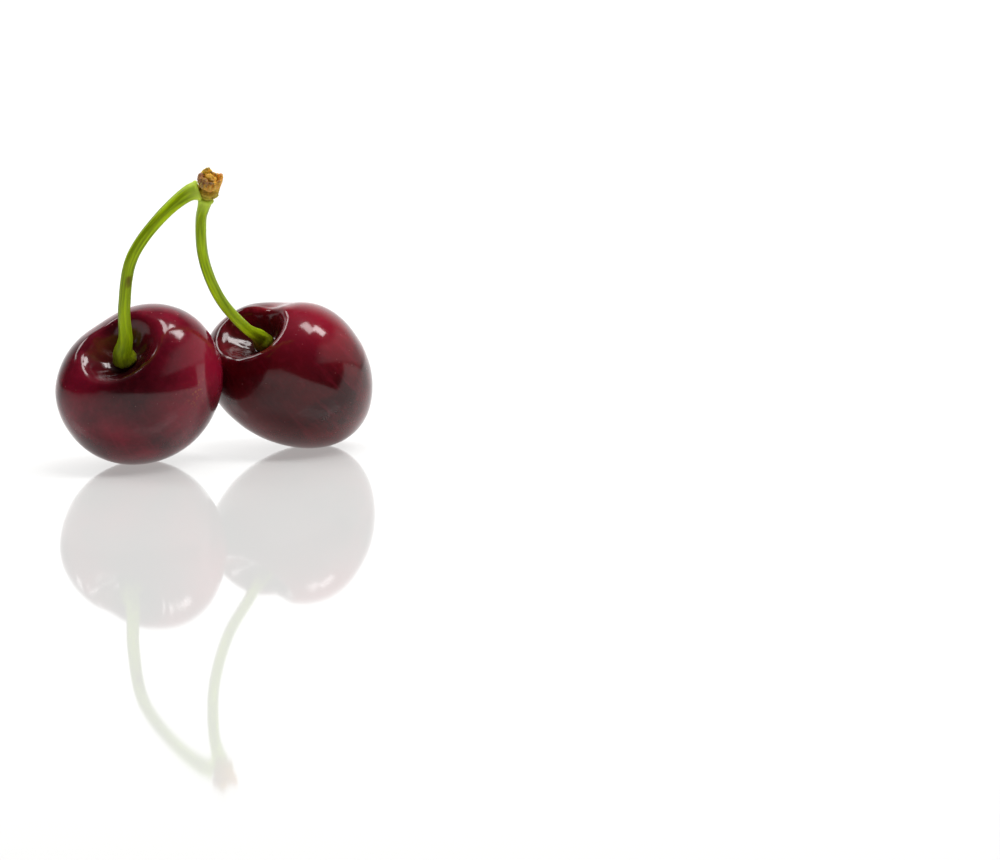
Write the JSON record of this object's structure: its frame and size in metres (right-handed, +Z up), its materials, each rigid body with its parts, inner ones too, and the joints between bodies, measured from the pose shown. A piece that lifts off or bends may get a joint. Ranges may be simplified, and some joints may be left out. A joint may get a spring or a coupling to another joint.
{
  "type": "cherries on stalks",
  "caption": "Dark sweet cherries resting on a surface, each on a long curved stalk, the stalks springing from a short spur crowned with dry bud scales.",
  "frame": {"origin": "on the surface the fruits rest on, under the middle of the bounding box", "axes": "+Z up, -Y towards the viewer, +X from the left fruit to the right fruit"},
  "size_m": [0.0496, 0.0458, 0.0495],
  "materials": {
    "left_skin": "glossy dark red fruit skin",
    "right_skin": "glossy dark red fruit skin",
    "left_stalk_green": "smooth yellow-green stalk",
    "right_stalk_green": "smooth yellow-green stalk",
    "spur_bark": "rough young bark",
    "bud_scale": "dry papery scale"
  },
  "bodies": {
    "root": {"left_cherry": "left_skin", "right_cherry": "right_skin", "left_stalk": "left_stalk_green", "right_stalk": "right_stalk_green", "spur": "spur_bark", "bud_scale_1": "bud_scale", "bud_scale_2": "bud_scale", "bud_scale_3": "bud_scale", "bud_scale_4": "bud_scale", "bud_scale_5": "bud_scale", "bud_scale_6": "bud_scale", "bud_scale_7": "bud_scale"}
  },
  "joints": []
}
